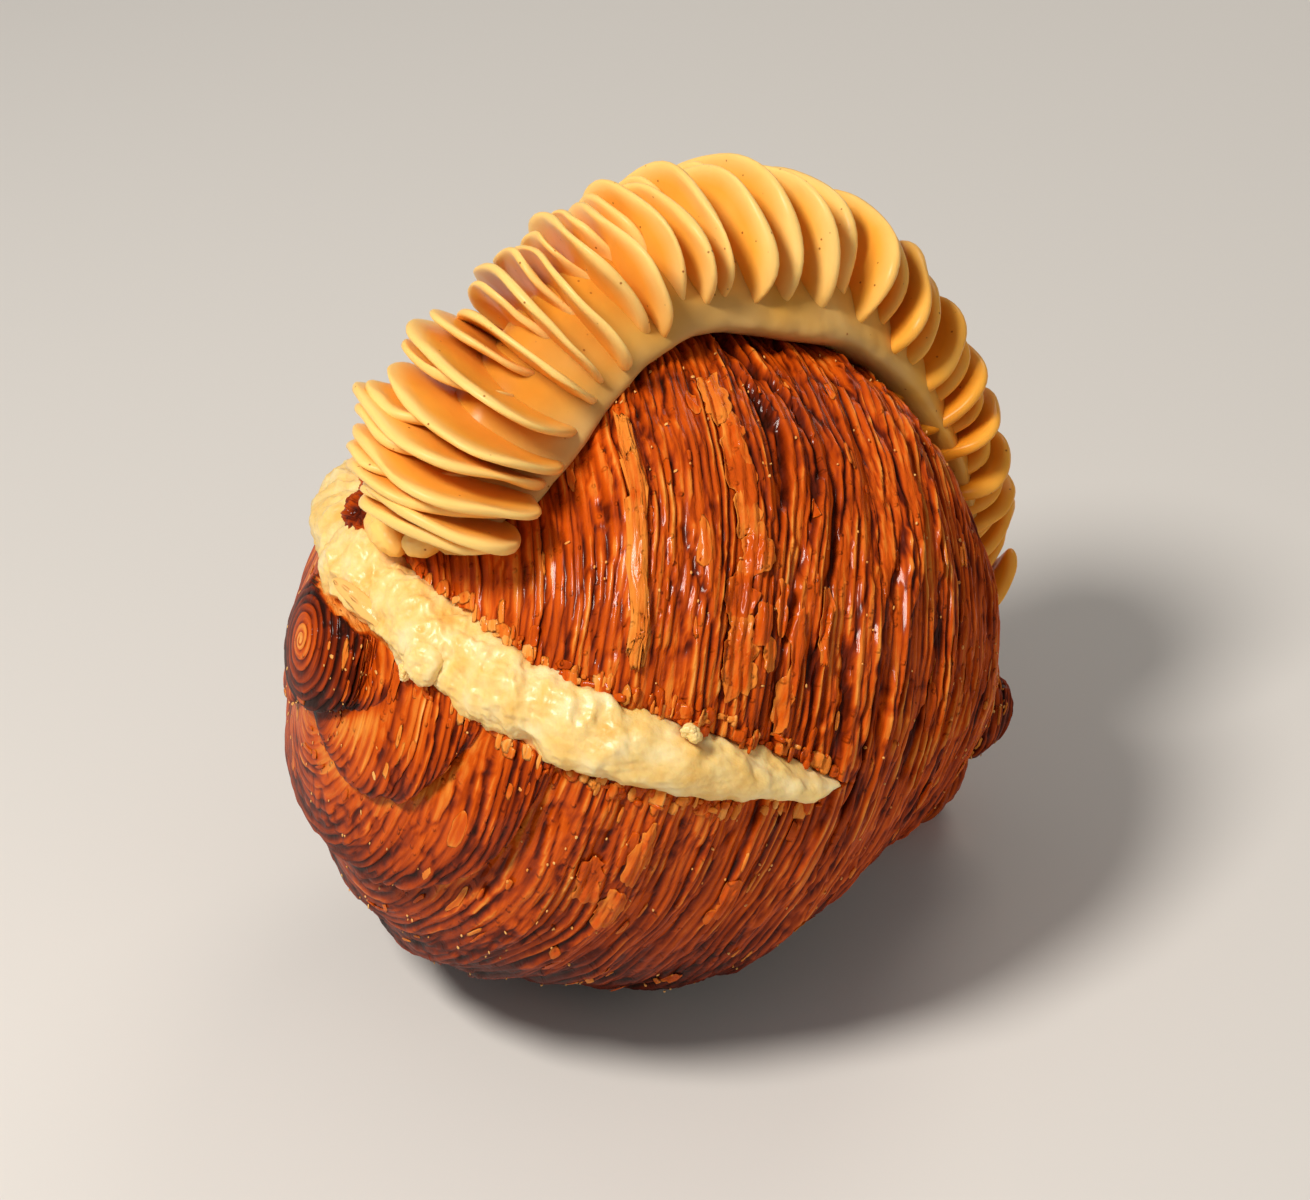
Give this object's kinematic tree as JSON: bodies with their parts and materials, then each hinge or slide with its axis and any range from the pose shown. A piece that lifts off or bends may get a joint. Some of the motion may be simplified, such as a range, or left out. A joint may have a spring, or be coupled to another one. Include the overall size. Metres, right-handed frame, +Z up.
{
  "type": "almond croissant",
  "caption": "Plump baked croissant split along one side, filled with almond cream, with a piped ruffle of cream over its top.",
  "frame": {"origin": "centre of the bounding box's bottom, on the table that the croissant rests on", "axes": "+Z up; +X to the right and -Y towards a viewer who faces the split; the open horn points to -X and a little to -Y, and is raised"},
  "size_m": [0.1098, 0.1038, 0.1179],
  "materials": {
    "crust": "baked, egg-washed flaky crust, deep orange brown with a thin glossy glaze",
    "almond_cream": "soft pale yellow almond cream, grainy and moist",
    "piped_cream": "smooth caramel-coloured piped cream with fine specks and a soft gloss"
  },
  "bodies": {
    "root": {"croissant": "crust", "filling": "almond_cream", "ruffle": "piped_cream"}
  },
  "joints": []
}
